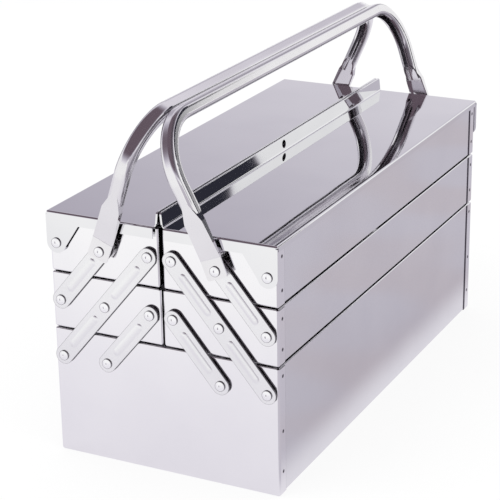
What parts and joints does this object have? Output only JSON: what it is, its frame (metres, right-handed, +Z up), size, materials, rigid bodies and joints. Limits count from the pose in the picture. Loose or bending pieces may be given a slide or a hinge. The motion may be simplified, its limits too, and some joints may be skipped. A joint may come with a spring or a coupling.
{
  "type": "cantilever tool box",
  "caption": "Sheet-steel cantilever tool box: a deep bottom box, paired trays that fold up and out on riveted arms, two hinged lids with grip lips, and two swinging handles.",
  "frame": {"origin": "centre of the box's footprint, on the floor that it stands on", "axes": "X along the box, from the front end (-X) to the rear end (+X); Y across it, the left tray stack on +Y; Z up"},
  "size_m": [0.465, 0.202, 0.3],
  "materials": {
    "sheet_steel": "bright polished stainless sheet with faint drawing lines",
    "lid_steel": "bright polished stainless sheet, mirror-like",
    "arm_steel": "tumbled bright steel strip with a pressed rib",
    "handle_steel": "bright rolled channel, polished",
    "rivet_steel": "bright domed rivet steel",
    "washer_steel": "plain bright steel ring"
  },
  "bodies": {
    "bottom_box": {"bottom_box_shell": "sheet_steel", "bottom_box_front_panel": "sheet_steel", "bottom_box_rear_panel": "sheet_steel", "bottom_box_rivets": "rivet_steel", "bottom_box_spacers": "washer_steel"},
    "left_long_arms": {"left_long_arm_front": "arm_steel", "left_long_arm_rear": "arm_steel"},
    "left_lower_arms": {"left_lower_arm_front": "arm_steel", "left_lower_arm_rear": "arm_steel"},
    "left_middle_tray": {"left_middle_tray_shell": "sheet_steel", "left_middle_tray_front_panel": "sheet_steel", "left_middle_tray_rear_panel": "sheet_steel", "left_middle_tray_rivets": "rivet_steel", "left_middle_tray_spacers": "washer_steel"},
    "left_upper_arms": {"left_upper_arm_front": "arm_steel", "left_upper_arm_rear": "arm_steel"},
    "left_top_tray": {"left_top_tray_shell": "sheet_steel", "left_top_tray_front_panel": "sheet_steel", "left_top_tray_rear_panel": "sheet_steel", "left_top_tray_rivets": "rivet_steel", "left_top_tray_spacers": "washer_steel", "left_lid_rivets": "rivet_steel", "left_lid_spacers": "washer_steel", "left_handle_washers": "washer_steel"},
    "left_lid": {"left_lid": "lid_steel"},
    "left_handle": {"left_handle": "handle_steel"},
    "right_long_arms": {"right_long_arm_front": "arm_steel", "right_long_arm_rear": "arm_steel"},
    "right_lower_arms": {"right_lower_arm_front": "arm_steel", "right_lower_arm_rear": "arm_steel"},
    "right_middle_tray": {"right_middle_tray_shell": "sheet_steel", "right_middle_tray_front_panel": "sheet_steel", "right_middle_tray_rear_panel": "sheet_steel", "right_middle_tray_rivets": "rivet_steel", "right_middle_tray_spacers": "washer_steel"},
    "right_upper_arms": {"right_upper_arm_front": "arm_steel", "right_upper_arm_rear": "arm_steel"},
    "right_top_tray": {"right_top_tray_shell": "sheet_steel", "right_top_tray_front_panel": "sheet_steel", "right_top_tray_rear_panel": "sheet_steel", "right_top_tray_rivets": "rivet_steel", "right_top_tray_spacers": "washer_steel", "right_lid_rivets": "rivet_steel", "right_lid_spacers": "washer_steel", "right_handle_washers": "washer_steel"},
    "right_lid": {"right_lid": "lid_steel"},
    "right_handle": {"right_handle": "handle_steel"}
  },
  "joints": [
    {"name": "left_fold", "type": "hinge", "parent": "bottom_box", "child": "left_long_arms", "pos_m": [0, 0.091, 0.087], "axis": [-1, 0, 0], "range_deg": [0, 79.6]},
    {"name": "left_lower_arm_swing", "type": "hinge", "parent": "bottom_box", "child": "left_lower_arms", "pos_m": [0, 0.0507, 0.087], "axis": [-1, 0, 0], "range_deg": [0, 79.6]},
    {"name": "left_middle_tray_level", "type": "hinge", "parent": "left_long_arms", "child": "left_middle_tray", "pos_m": [0, 0.0507, 0.1353], "axis": [-1, 0, 0], "range_deg": [-79.6, 0]},
    {"name": "left_upper_arm_swing", "type": "hinge", "parent": "left_middle_tray", "child": "left_upper_arms", "pos_m": [0, 0.091, 0.1353], "axis": [-1, 0, 0], "range_deg": [0, 79.6]},
    {"name": "left_top_tray_level", "type": "hinge", "parent": "left_long_arms", "child": "left_top_tray", "pos_m": [0, 0.0104, 0.1836], "axis": [-1, 0, 0], "range_deg": [-79.6, 0]},
    {"name": "left_lid_hinge", "type": "hinge", "parent": "left_top_tray", "child": "left_lid", "pos_m": [0, 0.0924, 0.1836], "axis": [-1, 0, 0], "range_deg": [0, 110]},
    {"name": "left_handle_swing", "type": "hinge", "parent": "left_top_tray", "child": "left_handle", "pos_m": [0, 0.0507, 0.1836], "axis": [-1, 0, 0], "range_deg": [0, 121]},
    {"name": "right_fold", "type": "hinge", "parent": "bottom_box", "child": "right_long_arms", "pos_m": [0, -0.091, 0.087], "axis": [1, 0, 0], "range_deg": [0, 79.6]},
    {"name": "right_lower_arm_swing", "type": "hinge", "parent": "bottom_box", "child": "right_lower_arms", "pos_m": [0, -0.0507, 0.087], "axis": [1, 0, 0], "range_deg": [0, 79.6]},
    {"name": "right_middle_tray_level", "type": "hinge", "parent": "right_long_arms", "child": "right_middle_tray", "pos_m": [0, -0.0507, 0.1353], "axis": [1, 0, 0], "range_deg": [-79.6, 0]},
    {"name": "right_upper_arm_swing", "type": "hinge", "parent": "right_middle_tray", "child": "right_upper_arms", "pos_m": [0, -0.091, 0.1353], "axis": [1, 0, 0], "range_deg": [0, 79.6]},
    {"name": "right_top_tray_level", "type": "hinge", "parent": "right_long_arms", "child": "right_top_tray", "pos_m": [0, -0.0104, 0.1836], "axis": [1, 0, 0], "range_deg": [-79.6, 0]},
    {"name": "right_lid_hinge", "type": "hinge", "parent": "right_top_tray", "child": "right_lid", "pos_m": [0, -0.0924, 0.1836], "axis": [1, 0, 0], "range_deg": [0, 110]},
    {"name": "right_handle_swing", "type": "hinge", "parent": "right_top_tray", "child": "right_handle", "pos_m": [0, -0.0507, 0.1836], "axis": [1, 0, 0], "range_deg": [0, 121]}
  ],
  "couplings": [
    {"joint": "left_lower_arm_swing", "follows": "left_fold", "ratio": 1},
    {"joint": "left_middle_tray_level", "follows": "left_fold", "ratio": -1},
    {"joint": "left_upper_arm_swing", "follows": "left_fold", "ratio": 1},
    {"joint": "left_top_tray_level", "follows": "left_fold", "ratio": -1},
    {"joint": "right_lower_arm_swing", "follows": "right_fold", "ratio": 1},
    {"joint": "right_middle_tray_level", "follows": "right_fold", "ratio": -1},
    {"joint": "right_upper_arm_swing", "follows": "right_fold", "ratio": 1},
    {"joint": "right_top_tray_level", "follows": "right_fold", "ratio": -1}
  ]
}
